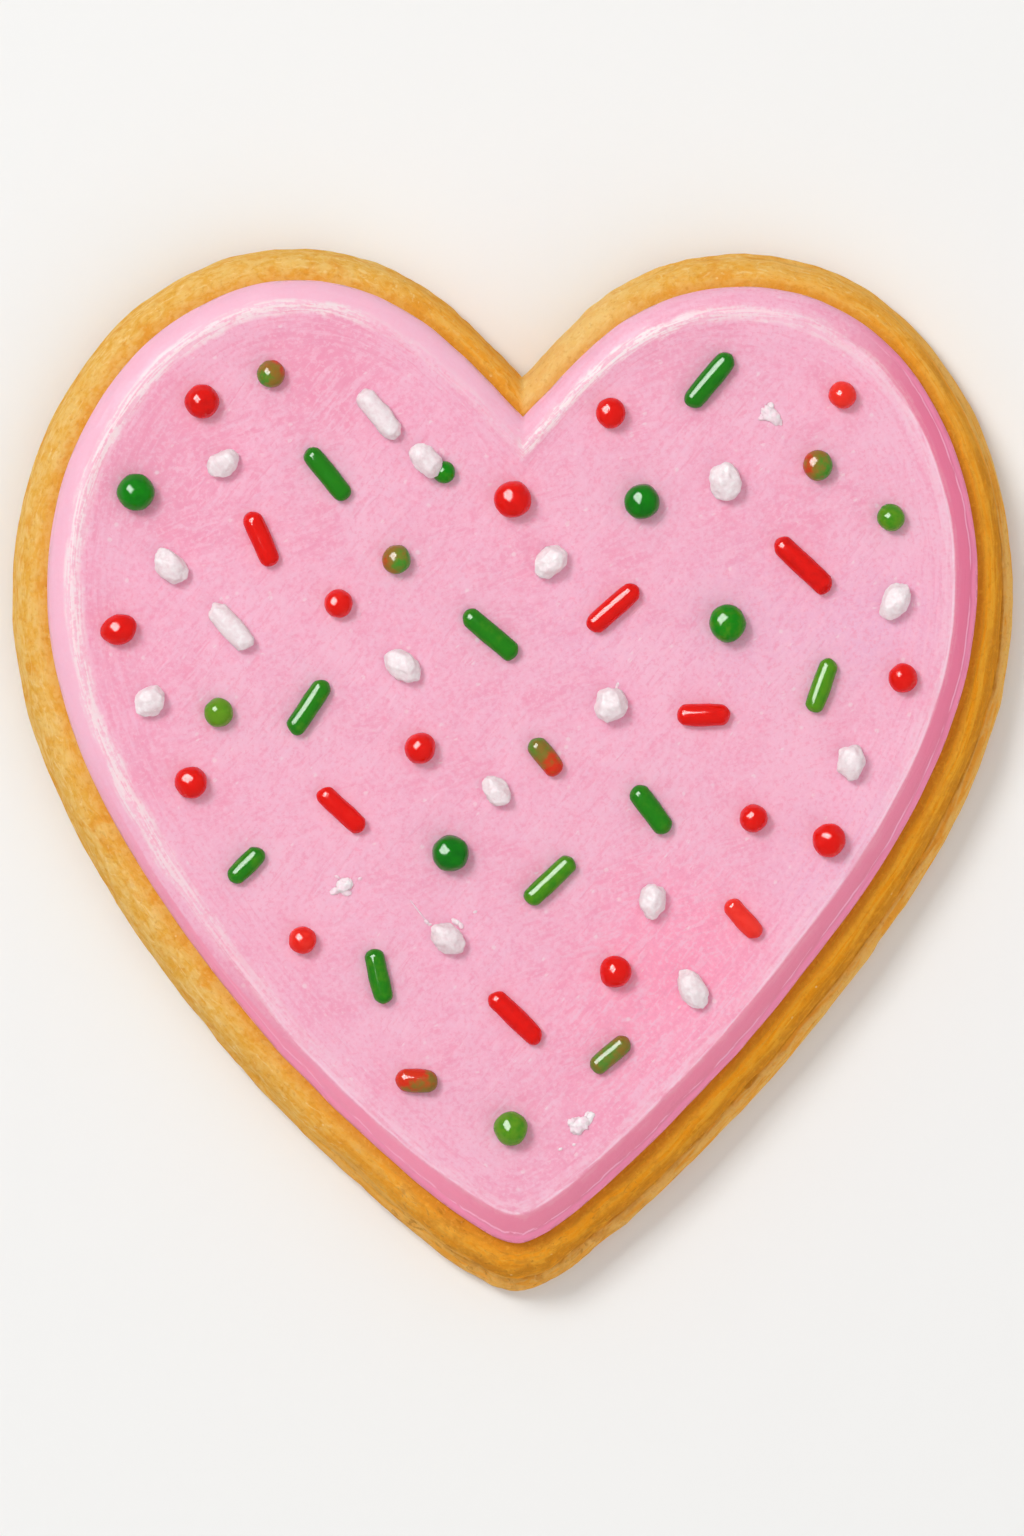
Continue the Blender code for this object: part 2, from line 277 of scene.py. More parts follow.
def biscuitFinish():
    look = biscuitLook
    material, tree, shader, where = newFinish("bakedBiscuit", {
        "Specular IOR Level": 0.015,
        "Subsurface Weight": 0.15,
        "Subsurface Radius": (1.0, 0.45, 0.2),
        "Subsurface Scale": 0.0012,
    })
    flow = addNode(tree, "ShaderNodeAttribute", attribute_name="flow").outputs["Vector"]
    zone = addNode(tree, "ShaderNodeAttribute", attribute_name="zone").outputs["Vector"]
    inward, spread, crease = addNode(tree, "ShaderNodeSeparateXYZ", {0: zone}).outputs
    axes = addNode(tree, "ShaderNodeSeparateXYZ", {0: where}).outputs
    strokes = grain(tree, flow, 1.0, 3, stretch=(1.4, 1.4, 0.65), distortion=1.0)
    streaks = grain(tree, flow, 1.0, 3, stretch=(4.5, 4.5, 0.4), distortion=0.7)
    cloudy = grain(tree, where, 1.5, 3, distortion=0.6)
    blotches = grain(tree, where, 2.4, 2, distortion=0.4)
    crumb = grain(tree, where, 0.42, 3)
    # painted shade: the crust is coloured deeper away from the light, towards the lower right, in longer
    # streaks
    towardsShade = span(tree, sums(tree, axes[0], sums(tree, axes[1], 0.6), "SUBTRACT"), -25 * mm, 38 * mm)
    # and painted shade deepens the left of the notch, while painted light keeps its right pale
    high = span(tree, axes[1], 31 * mm, 34 * mm)
    notchLeftShade = sums(tree, banded(tree, axes[0], (-15 * mm, -4 * mm), (0.3 * mm, 1.3 * mm)), high)
    notchRightLight = sums(tree, banded(tree, axes[0], (0.3 * mm, 1.3 * mm), (6 * mm, 14 * mm)), high)
    towardsShade = sums(tree, towardsShade, sums(tree, notchLeftShade, 0.6), "ADD")
    soft = sums(tree, sums(tree, strokes, cloudy, "ADD"), 0.5)
    patch = blended(tree, towardsShade, soft, streaks)
    # painted shade: a lit copy and a deeper copy of each tone, mixed by how far towards the shade a point
    # lies
    light = mixed(tree, towardsShade, look["pale"], look["tan"])
    rich = mixed(tree, towardsShade, look["gold"], look["orange"])
    tone = mixed(tree, span(tree, patch, 0.6, 0.4), light, rich)
    tone = mixed(tree, span(tree, blotches, 0.54, 0.68, 0, 0.6), tone, look["blush"])
    # pale strokes in the crust, fewer towards the painted shade
    pale = sums(tree, span(tree, strokes, 0.57, 0.68, 0, 0.6), span(tree, towardsShade, 0.9, 0.2, 0.1, 1.0))
    tone = mixed(tree, sums(tree, pale, span(tree, inward, 0.85, 0.5)), tone, look["chalkAndLight"])
    tone = mixed(tree, sums(tree, notchRightLight, 0.45), tone, look["chalkAndLight"])
    # painted shadow of the icing: towards it the crust is coloured darker, more so away from the light, with
    # an edge like a brushstroke's
    brushed = sums(tree, sums(tree, streaks, 0.5, "SUBTRACT"), 0.3)
    across = sums(tree, inward, brushed, "ADD")
    icingShadow = span(tree, across, 0.6, 0.9, 0, 0.7)
    tone = mixed(tree, sums(tree, icingShadow, span(tree, towardsShade, 0, 1, 0.5, 1.0)), tone, look["blush"])
    tone = mixed(tree, sums(tree, span(tree, across, 0.7, 0.86, 0, 0.62), towardsShade), tone, look["brown"])
    # painted light makes the lip paler, and it is streaked; painted shade runs browner along the crease
    # behind it
    onLip = sums(tree, span(tree, inward, 0.31, 0.24), span(tree, spread, 0.15, 0.7))
    tone = mixed(tree, sums(tree, onLip, span(tree, streaks, 0.39, 0.55, 0.3, 1.0)), tone, look["lip"])
    creaseShade = banded(tree, across, (0.24, 0.31), (0.38, 0.58))
    creaseShade = sums(tree, creaseShade, span(tree, spread, 0.3, 0.8, 0, 0.8))
    tone = mixed(tree, sums(tree, creaseShade, span(tree, cloudy, 0.35, 0.55, 0.5, 1.0)), tone, look["brown"])
    # a dark line of painted shade in the crease itself
    tone = mixed(tree, sums(tree, crease, span(tree, blotches, 0.42, 0.6, 0.15, 0.6)), tone, look["dark"])
    # the point scorched in patches, with short cracks
    nearPoint = span(tree, axes[1], -31 * mm, -41 * mm)
    smudge = sums(tree, sums(tree, streaks, cloudy, "ADD"), 0.5)
    tone = mixed(tree, sums(tree, nearPoint, span(tree, smudge, 0.46, 0.62, 0, 0.55)), tone, look["brown"])
    tone = mixed(tree, sums(tree, nearPoint, span(tree, strokes, 0.6, 0.7, 0, 0.45)), tone, look["dark"])
    # the underside browned on the tray, and the crumb shows all over
    under = span(tree, axes[2], 0.7 * mm, 0.05 * mm, 0, 0.7)
    tone = mixed(tree, under, tone, mixed(tree, span(tree, smudge, 0.4, 0.65), look["brown"], look["dark"]))
    tone = mixed(tree, span(tree, crumb, 0.52, 0.72, 0, 0.45), tone, light)
    tone = mixed(tree, span(tree, crumb, 0.46, 0.28, 0, 0.32), tone, look["brown"])
    grit = sums(tree, span(tree, cells(tree, where, 420.0), 0.075, 0.05), span(tree, blotches, 0.48, 0.56))
    tone = mixed(tree, sums(tree, grit, 0.7), tone, look["chalkAndLight"])
    pits = span(tree, cells(tree, where, 900.0), 0.0, 0.35)
    relief = stacked(tree, (crumb, 0.18), (patch, 0.24), (pits, 0.06))
    linked(tree, shader, tone, span(tree, crumb, 0.2, 0.8, 0.62, 0.85), relief)
    return material


def makeBiscuit():
    look = biscuitLook
    pairs = list(zip(heartOutline("edge"), heartOutline("foot")))
    rings = []
    for index, (plain, lipped) in enumerate(zip(look["plain"], look["lipped"])):

        def place(pair, turn, index=index, plain=plain, lipped=lipped):
            outer, inner = pair
            angle = math.atan2(outer.y, outer.x)
            lean = look["lipLean"] * math.cos(angle - look["lipTowards"])
            spread = look["lipSpread"] + lean + look["lipUneven"] * waves(aroundTurn(turn), 9)
            spread = max(0.0, min(1.0, spread))
            share, height = Vector(plain).lerp(Vector(lipped), spread)
            spot = aroundTurn(turn, height)
            rough = min(1.0, height / look["roughAbove"])  # none at the flat underside
            moved = share + rough * sum(reach * waves(spot, length) for reach, length in look["rimWaves"])
            flat = outer.lerp(inner, moved)
            nearTop = min(1.0, height / look["topHeight"]) ** 3
            rise = look["wobble"] * waves(Vector((flat.x, flat.y, 3)), 4.5) * nearTop
            fromCrease = abs(index - look["creaseRing"])
            rise += look["creaseWobble"] * waves(spot, 3.5) * (0 < fromCrease < 4)
            crease = max(0.0, 1 - fromCrease / look["creaseWidth"]) * spread
            underIcing = share > 1.1  # kept level there
            lifted = height if underIcing else max(0.0, height + rise)
            return Vector((flat.x, flat.y, lifted)), (share, spread, crease)

        across = 3.2 * plain[0] + 0.5 * plain[1]
        rings.append((pairs, across, place))
    bm = loftHeart(rings)
    return finishPiece(bm, "biscuitBaked", biscuitFinish(), "biscuit")


icingLook = {
    # share of the way from the icing's foot to its crest, and height in mm
    "shoulder": [
        (0.08, 7.35), (0.02, 7.6), (0.0, 7.85), (0.01, 8.15), (0.035, 8.48), (0.085, 8.82),
        (0.155, 9.12), (0.24, 9.38), (0.34, 9.57), (0.45, 9.735), (0.56, 9.87), (0.67, 9.99),
        (0.77, 10.095), (0.86, 10.185), (0.93, 10.238), (1.0, 10.26),
    ],
    # share of the crest's size and height, where the crown falls to the flat field
    "crown": [
        (0.99, 10.25), (0.978, 10.235), (0.965, 10.21), (0.95, 10.175), (0.935, 10.135), (0.918, 10.095),
        (0.9, 10.06), (0.88, 10.03), (0.86, 10.01),
    ],
    "fieldRings": 38,
    "field": 10.0,  # mm high
    "middle": (0.0, 14.0),
    "middleDepth": 40.0,  # mm in from the foot
    "shoulderWidth": 2.6,
    "shoulderWaves": (0.07, 8.0),  # share of the shoulder, and length in mm
    "ripples": ((0.05, 7.5, 0.0), (0.025, 2.8, 9.0)),  # mm high, mm long, and where in the noise
    "pink": (0.872, 0.424, 0.567),
    "deep": (0.848, 0.314, 0.457),
    "pale": (0.897, 0.508, 0.638),
    "shoulderShade": (0.785, 0.23, 0.34),
    "shoulderShadeRose": (0.8, 0.188, 0.322),
    "shoulderLit": (0.9, 0.5, 0.63),
    "rose": (0.95, 0.3, 0.455),
    "crestLight": (0.97, 0.7, 0.8),
    "footShade": (0.87, 0.285, 0.41),
    "footBounceLight": (1.0, 0.3, 0.5),
    "thinLightLine": (0.98, 0.5, 0.68),
    "sugarAndHighlight": (0.895, 0.75, 0.76),
    "lavender": (0.81, 0.475, 0.66),
    # broad changes of tone in the field: x, y, reach in mm, tone and strength
    "blooms": [
        (15, -18, 14, "rose", 0.75),
        (9, -27, 9, "rose", 0.4),
        (31, -9, 11, "lavender", 0.55),
        (21, 13, 10, "lavender", 0.35),
        (7, 13, 7, "lavender", 0.3),
        (32, 13, 9, "lavender", 0.5),
        (-31, 27, 10, "deep", 0.7),
        (-17, 36, 9, "deep", 0.9),
        (-34, 8, 9, "deep", 0.4),
        (3, -33, 10, "deep", 0.35),
        (-20, -9, 13, "pale", 0.2),
        (26, 2, 9, "pale", 0.45),
        (17, 35, 8, "deep", 0.35),
        (5, 24, 8, "pale", 0.2),
    ],
}


def icingFinish():
    look = icingLook
    material, tree, shader, where = newFinish("sugarIcing", {
        "Specular IOR Level": 0.062,
        "Subsurface Weight": 0.25,
        "Subsurface Radius": (1.0, 0.35, 0.42),
        "Subsurface Scale": 0.0014,
    })
    flow = addNode(tree, "ShaderNodeAttribute", attribute_name="flow").outputs["Vector"]
    depth = addNode(tree, "ShaderNodeSeparateXYZ", {0: flow}).outputs[2]
    along = grain(tree, flow, 1.0, 3, stretch=(4.5, 4.5, 0.45), distortion=0.6)
    slanted = grain(tree, where, 1.0, 3, stretch=(2.6, 0.5, 2.6), turn=math.radians(-50), distortion=1.0)
    crossed = grain(tree, where, 1.0, 3, stretch=(2.2, 0.55, 2.2), turn=math.radians(-20), distortion=1.2)
    clouds = grain(tree, where, 6.0, 2, distortion=0.5)
    specks = grain(tree, where, 0.35, 3)
    field = blended(tree, span(tree, clouds, 0.42, 0.58), slanted, crossed)
    inner = span(tree, depth, 4 * mm, 11 * mm)
    strokes = blended(tree, inner, along, field)
    grooves = blended(tree, inner, along, slanted)
    tone = mixed(tree, span(tree, clouds, 0.5, 0.72, 0, 0.5), look["pink"], look["deep"])
    tone = mixed(tree, span(tree, clouds, 0.48, 0.3, 0, 0.45), tone, look["pale"])
    ragEdge = sums(tree, strokes, 16 * mm)
    for x, y, reach, name, strength in look["blooms"]:
        centre = Vector((x, y, look["field"])) * mm
        apart = addNode(tree, "ShaderNodeVectorMath", {0: where, 1: centre}, operation="DISTANCE")
        uneven = sums(tree, apart.outputs["Value"], ragEdge, "ADD")
        tone = mixed(tree, span(tree, uneven, (reach + 8) * mm, 8 * mm, 0, strength), tone, look[name])
    tone = mixed(tree, span(tree, strokes, 0.5, 0.64, 0, 0.5), tone, look["pale"])
    tone = mixed(tree, span(tree, strokes, 0.48, 0.34, 0, 0.45), tone, look["deep"])
    tone = mixed(tree, span(tree, specks, 0.51, 0.66, 0, 0.55), tone, look["pale"])
    tone = mixed(tree, span(tree, specks, 0.47, 0.34, 0, 0.5), tone, look["deep"])
    flecks = span(tree, cells(tree, where, 700.0), 0.2, 0.08, 0, 0.45)
    flecks = sums(tree, flecks, span(tree, strokes, 0.48, 0.56))
    tone = mixed(tree, flecks, tone, look["sugarAndHighlight"])
    # painted shade makes the shoulder deeper on the right, away from the light, and painted bounce light
    # gives it a clear line at its foot
    axes = addNode(tree, "ShaderNodeSeparateXYZ", {0: where}).outputs
    towardsShade = sums(tree, sums(tree, axes[0], axes[1], "SUBTRACT"), 14 * mm, "ADD")
    # low on the left the slope is narrower and gets less of the painted shade
    lowSlope = sums(tree, span(tree, axes[0], 0, -14 * mm), span(tree, axes[1], -14 * mm, -25 * mm))
    crestDepth = sums(tree, depth, sums(tree, lowSlope, 0.45 * mm), "ADD")
    shoulder = span(tree, crestDepth, 2.5 * mm, 2.1 * mm)
    toRight = span(tree, towardsShade, -2 * mm, 22 * mm)
    right = sums(tree, sums(tree, shoulder, toRight), span(tree, lowSlope, 0, 1, 1.0, 0.65))
    # painted light makes the shoulder paler on the left, towards the light
    left = sums(tree, shoulder, span(tree, towardsShade, -2 * mm, -30 * mm, 0, 0.8))
    tone = mixed(tree, sums(tree, right, 0.92), tone, look["shoulderShade"])
    high = sums(tree, span(tree, axes[1], -8 * mm, 14 * mm, 0, 0.8), span(tree, axes[0], 20 * mm, 38 * mm))
    tone = mixed(tree, sums(tree, right, high), tone, look["shoulderShadeRose"])
    tone = mixed(tree, left, tone, look["shoulderLit"])
    # low on the left the painted shade keeps to a band at the foot, broader towards the point
    bandEdge = span(tree, axes[1], -16 * mm, -36 * mm, 0.95 * mm, 1.9 * mm)
    past = sums(tree, depth, bandEdge, "SUBTRACT")
    lowLeft = sums(tree, span(tree, axes[1], 4 * mm, -14 * mm, 0, 0.75), span(tree, axes[0], 0, -8 * mm))
    band = sums(tree, span(tree, past, 0.12 * mm, -0.08 * mm), lowLeft)
    tone = mixed(tree, sums(tree, band, span(tree, along, 0.3, 0.5, 0.6, 1.0)), tone, look["footShade"])
    # painted bounce light: a brighter line at the foot of the shaded slope
    atFoot = sums(tree, span(tree, depth, 0.75 * mm, 0.45 * mm, 0, 0.85), right)
    tone = mixed(tree, sums(tree, atFoot, span(tree, along, 0.3, 0.5, 0.5, 1.0)), tone, look["footBounceLight"])
    # painted light: a thin wavering line across the shaded slope, near its foot
    wander = grain(tree, flow, 3.0, 2)
    wavy = sums(tree, depth, sums(tree, wander, 0.5 * mm), "ADD")
    thin = banded(tree, wavy, (0.9 * mm, 0.98 * mm), (1.04 * mm, 1.12 * mm))
    thin = sums(tree, sums(tree, thin, right), span(tree, along, 0.42, 0.52, 0.0, 0.7))
    tone = mixed(tree, thin, tone, look["thinLightLine"])
    # a band of painted light along the crest on the right, with a clear line of painted light where it meets
    # the painted shade
    crestLightBand = banded(tree, crestDepth, (2.35 * mm, 2.45 * mm), (2.9 * mm, 3.7 * mm))
    crestLightBand = sums(tree, sums(tree, crestLightBand, toRight), span(tree, along, 0.4, 0.58, 0.0, 0.16))
    tone = mixed(tree, crestLightBand, tone, look["crestLight"])
    edge = banded(tree, crestDepth, (2.28 * mm, 2.38 * mm), (2.5 * mm, 2.62 * mm))
    edge = sums(tree, sums(tree, edge, toRight), span(tree, along, 0.4, 0.56, 0.05, 0.42))
    tone = mixed(tree, edge, tone, look["crestLight"])
    # a painted highlight in strands along the crest, most of all away from the painted shade, over the real
    # glint that the roughness gives
    strands = grain(tree, flow, 1.0, 3, stretch=(4.0, 4.0, 0.24), distortion=0.5)
    broken = sums(tree, sums(tree, specks, 0.5, "SUBTRACT"), 0.4)
    strands = sums(tree, strands, broken, "ADD")
    ragged = sums(tree, depth, sums(tree, wander, 1.4 * mm), "ADD")
    onCrest = banded(tree, ragged, (2.3 * mm, 2.85 * mm), (3.7 * mm, 4.5 * mm))
    crestHighlight = sums(tree, span(tree, strands, 0.43, 0.57, 0.28, 1.0), onCrest)
    crestHighlight = sums(tree, crestHighlight, span(tree, towardsShade, 30 * mm, -25 * mm, 0.12, 0.8))
    # the painted highlight is weaker where the left lobe falls to the notch
    nearTop = span(tree, axes[1], 22 * mm, 26 * mm)
    inNotch = sums(tree, banded(tree, axes[0], (-16 * mm, -11 * mm), (0, 1.2 * mm)), nearTop)
    crestHighlight = sums(tree, crestHighlight, span(tree, inNotch, 0, 1, 1.0, 0.3))
    # and more so where the right lobe rises from it
    besideNotch = sums(tree, banded(tree, axes[0], (0, 2 * mm), (11 * mm, 20 * mm)), nearTop)
    crestHighlight = sums(tree, crestHighlight, span(tree, besideNotch, 0, 1, 1.0, 1.3))
    tone = mixed(tree, crestHighlight, tone, look["sugarAndHighlight"])
    relief = stacked(tree, (grooves, 0.06), (specks, 0.03))
    dull = blended(tree, onCrest, strokes, strands)
    linked(tree, shader, tone, span(tree, dull, 0.45, 0.57, 0.68, 0.26), relief)
    return material


def makeIcing():
    look = icingLook
    foot = heartOutline("foot")
    crest = heartOutline("crest")
    middle = Vector(look["middle"])
    noZone = (0, 0, 0)  # the icing's patterns need none
    rings = []

    def ripple(flat):
        return sum(high * waves(Vector((flat.x, flat.y, at)), long) for high, long, at in look["ripples"])

    for share, height in look["shoulder"]:

        def onShoulder(pair, turn, share=share, height=height):
            reach, length = look["shoulderWaves"]
            inside = 1 - 0.5 * abs(2 * share - 1)  # half as much at the foot and the crest
            moved = share + reach * waves(aroundTurn(turn, height), length) * inside
            flat = pair[0].lerp(pair[1], moved)
            return Vector((flat.x, flat.y, height + ripple(flat) * share)), noZone

        rings.append((list(zip(foot, crest)), look["shoulderWidth"] * share, onShoulder))
    field = []
    for ring in range(1, look["fieldRings"]):
        inwards = (1 - ring / look["fieldRings"]) ** 0.9
        field.append((look["crown"][-1][0] * inwards, look["field"]))
    for share, height in look["crown"] + field:
        points = [middle + (p - middle) * share for p in crest]
        across = [look["shoulderWidth"] + (p - middle).length * (1 - share) for p in crest]

        def inField(flat, turn, height=height):
            return Vector((flat.x, flat.y, height + ripple(flat))), noZone

        rings.append((points, across.__getitem__, inField))
    bm = loftHeart(rings, look["middleDepth"])
    surface = BVHTree.FromBMesh(bm)
    finishPiece(bm, "icingSpread", icingFinish(), "icing")
    return surface


# Sprinkles: x, y, width, length in mm, turn in degrees, and shade from -1, deep, to 1, light

redPearls = {
    "name": "redPearls",
    "shape": "pearl",
    "deep": (0.49, 0.003, 0.002),
    "body": (0.77, 0.005, 0.002),
    "light": (0.86, 0.03, 0.018),
    "places": [
        (-27.9, 33.1, 3.06, 3.06, 0, -0.3),
        (0.0, 24.35, 3.33, 3.33, 0, -0.1),
        (8.75, 32.1, 2.7, 2.7, 0, 0.1),
        (29.6, 33.7, 2.5, 2.5, 0, 0.9),
        (-15.65, 15.0, 2.6, 2.6, 0, 0.2),
        (-35.4, 12.65, 2.7, 3.33, 18, -0.1),
        (35.0, 8.3, 2.65, 2.65, 0, 0.1),
        (-28.9, -1.05, 2.97, 2.97, 0, 0.0),
        (-8.35, 2.0, 2.88, 2.88, 0, 0.0),
        (-18.9, -15.25, 2.5, 2.5, 0, 0.6),
        (9.2, -18.05, 2.88, 2.88, 0, 0.0),
        (21.6, -4.3, 2.6, 2.6, 0, 0.1),
        (28.35, -6.25, 3.06, 3.06, 0, 0.1),
    ],
}
greenPearls = {
    "name": "greenPearls",
    "shape": "pearl",
    "deep": (0.002, 0.15, 0.004),
    "body": (0.004, 0.225, 0.002),
    "light": (0.125, 0.305, 0.01),
    "places": [
        (-33.85, 24.95, 3.33, 3.33, 0, -0.3),
        (11.6, 24.15, 3.15, 3.15, 0, -0.5),
        (19.25, 13.2, 3.33, 3.33, 0, 0.2),
        (33.95, 22.7, 2.5, 2.5, 0, 0.6),
        (-5.6, -7.45, 3.33, 3.33, 0, -0.6),
        (-0.2, -32.15, 3.06, 3.06, 0, 0.7),
        (-26.45, 5.2, 2.65, 2.65, 0, 0.9),
        (-6.2, 26.8, 2.1, 2.1, 0, 0.1),
    ],
}
mixedPearls = {
    "name": "mixedPearls",
    "shape": "pearl",
    "deep": (0.6, 0.03, 0.008),
    "body": (0.28, 0.16, 0.02),
    "light": (0.06, 0.27, 0.02),
    # the shade here runs from red to green; then the way that the green lies, and how much it gains
    "places": [
        (-21.7, 35.6, 2.5, 2.5, 0, 0.1, 220, 0.7),
        (-10.45, 18.95, 2.6, 2.6, 0, 0.35, -20, 0.8),
        (27.35, 27.4, 2.7, 2.7, 0, 0.15, -10, 1.0),
    ],
}
redRods = {
    "name": "redRods",
    "shape": "rod",
    "deep": (0.49, 0.003, 0.002),
    "body": (0.77, 0.005, 0.002),
    "light": (0.87, 0.04, 0.026),
    "places": [
        (-22.6, 20.75, 1.9, 5.2, -66, 0.0),
        (9.0, 14.6, 1.95, 5.7, 41, -0.1),
        (26.1, 18.4, 2.0, 6.5, -43, -0.3),
        (17.1, 5.0, 2.05, 4.8, 0, 0.0),
        (-15.4, -3.55, 1.85, 5.3, -43, 0.0),
        (0.25, -22.2, 1.9, 6.0, -44, -0.1),
        (20.7, -13.35, 1.8, 4.2, -48, 0.8),
    ],
}
greenRods = {
    "name": "greenRods",
    "shape": "rod",
    "deep": (0.002, 0.14, 0.004),
    "body": (0.014, 0.205, 0.004),
    "light": (0.09, 0.29, 0.006),
    "places": [
        (-16.65, 26.6, 1.85, 5.7, -51, -0.1),
        (17.65, 35.05, 2.0, 5.9, 50, -0.3),
        (-2.0, 12.2, 1.9, 6.0, -40, 0.1),
        (27.7, 7.6, 1.8, 5.1, 70, 0.8),
        (-18.35, 5.7, 1.9, 5.6, 56, 0.2),
        (-23.95, -8.5, 1.85, 4.05, 45, 0.2),
        (-12.05, -18.5, 1.85, 4.95, -77, 0.2),
        (12.4, -3.55, 2.0, 5.0, -53, 0.1),
        (3.35, -9.85, 1.85, 5.75, 44, 0.6),
    ],
}
mixedRods = {
    "name": "mixedRods",
    "shape": "rod",
    "deep": (0.66, 0.03, 0.008),
    "body": (0.25, 0.15, 0.02),
    "light": (0.1, 0.24, 0.025),
    "places": [
        (2.95, 1.2, 1.95, 3.9, -51, -0.2, 120, 1.1),
        (8.75, -25.5, 1.8, 4.3, 40, 0.45, 230, 0.3),
        (-8.65, -27.85, 2.15, 3.7, -3, -0.6, -50, 1.1),
    ],
}
whiteRods = {
    "name": "whiteRods",
    "shape": "roughRod",
    "deep": (0.8, 0.64, 0.67),
    "body": (0.86, 0.75, 0.77),
    "light": (0.92, 0.86, 0.87),
    "places": [
        (-12.05, 32.0, 2.0, 5.2, -51, 0.0),
        (-25.3, 12.85, 2.05, 5.15, -48, 0.1),
    ],
}
whiteNuggets = {
    "name": "whiteNuggets",
    "shape": "nugget",
    "deep": (0.8, 0.64, 0.67),
    "body": (0.86, 0.75, 0.77),
    "light": (0.92, 0.86, 0.87),
    "places": [
        (-26.0, 27.6, 2.35, 3.05, 30, 0.1),
        (-7.75, 27.85, 2.6, 3.4, -45, -0.1),
        (-30.8, 18.4, 2.5, 3.6, -45, 0.0),
        (3.35, 18.75, 2.6, 3.35, 40, 0.1),
        (19.1, 25.95, 2.9, 3.35, 90, 0.2),
        (-9.9, 9.4, 2.5, 3.8, -45, 0.1),
        (-32.6, 6.25, 2.6, 3.05, 60, 0.2),
        (34.3, 15.15, 2.45, 3.7, 62, 0.1),
        (8.8, 5.9, 2.9, 3.25, 90, 0.1),
        (30.35, 0.75, 2.7, 3.25, 80, 0.0),
        (-1.45, -1.85, 2.15, 3.15, -48, -0.2),
        (12.5, -11.65, 2.5, 3.25, 85, 0.1),
        (-5.85, -15.1, 2.5, 3.5, -45, -0.2),
        (16.1, -19.65, 2.35, 3.95, -62, 0.1),
    ],
}
sugarSpecks = {
    "name": "sugarSpecks",
    "shape": "speck",
    "deep": (0.92, 0.6, 0.7),
    "body": (0.95, 0.73, 0.79),
    "light": (0.97, 0.87, 0.89),
    # flat crumbs of sugar half melted into the icing, several to a patch
    "places": [
        (23.1, 31.95, 1.15, 2.1, -48, 0.3),
        (23.1, 32.6, 0.65, 0.95, 75, 0.5),
        (22.5, 31.75, 0.6, 0.95, 15, -0.2),
        (23.8, 31.35, 0.6, 0.85, -30, 0.1),
        (-15.2, -10.3, 1.2, 1.6, 40, 0.5),
        (-15.95, -10.8, 0.65, 1.15, 25, 0.1),
        (-14.75, -10.2, 0.8, 0.95, 80, 0.7),
        (-15.0, -11.0, 0.6, 0.85, 0, 0.0),
        (-15.8, -9.55, 0.3, 0.5, -30, -0.5),
        (-13.75, -9.7, 0.3, 0.45, 10, -0.5),
        (6.0, -31.8, 1.35, 1.95, 40, 0.2),
        (6.75, -31.35, 0.7, 1.6, 52, 0.9),
        (5.4, -31.6, 0.85, 1.05, 10, 0.1),
        (5.85, -32.35, 0.7, 1.1, -25, -0.1),
        (6.65, -30.9, 0.4, 0.6, 60, 0.5),
        (5.45, -33.6, 0.28, 0.35, 0, 0.0),
        (4.25, -34.0, 0.28, 0.4, 30, 0.2),
        (9.35, 7.6, 0.3, 0.65, 70, 0.2),
        (-7.75, -13.6, 0.32, 0.5, 130, 0.4),
        (-7.45, -13.85, 0.3, 0.35, 0, 0.1),
        (-8.5, -12.6, 0.13, 2.3, 128, -0.2),
        (-5.15, -13.6, 0.5, 1.0, -35, 0.2),
        (-4.65, -13.95, 0.45, 0.6, -60, 0.0),
        (-3.4, -12.7, 0.3, 0.45, 20, -0.6),
    ],
}
sprinkleShapes = {
    "pearl": {
        "sugar": "coloured", "sunk": 0.5, "high": 1.0,
        "lumps": 0.07, "lumpLength": 1.7, "bump": 0.004, "roughness": 0.12,
    },
    "rod": {
        "sugar": "coloured", "sunk": 0.5, "high": 1.0,
        "lumps": 0.06, "lumpLength": 1.6, "bump": 0.004, "roughness": 0.12,
    },
    "roughRod": {
        "sugar": "white", "sunk": 0.45, "high": 1.0,
        "lumps": 0.14, "lumpLength": 0.95, "bump": 0.05, "roughness": 0.4,
    },
    "nugget": {
        "sugar": "white", "sunk": 0.4, "high": 0.95,
        "lumps": 0.085, "lumpLength": 0.75, "bump": 0.09, "roughness": 0.4,
    },
    "speck": {
        "sugar": "white", "sunk": 0.55, "high": 0.55,
        "lumps": 0.35, "lumpLength": 0.45, "bump": 0.05, "roughness": 0.5,
    },
}
rodMiddle = 0.33  # share of a rod's rings that spread along it
nuggetCuts = {"count": 22, "nearest": 0.86, "farthest": 0.98, "start": 1.05, "smoothings": 5}
sugars = {
    "coloured": {"specular": 0.21, "scatter": 0.1, "reach": (1.0, 0.6, 0.4), "mottle": 0.9, "uneven": 0.25},
    "white": {"specular": 0.1, "scatter": 0.35, "reach": (1.0, 0.9, 0.9), "mottle": 0.45, "uneven": 0.7},
}
raisedNugget = {"place": (-7.75, 27.85), "by": 0.55}  # it lies partly on the small green pearl


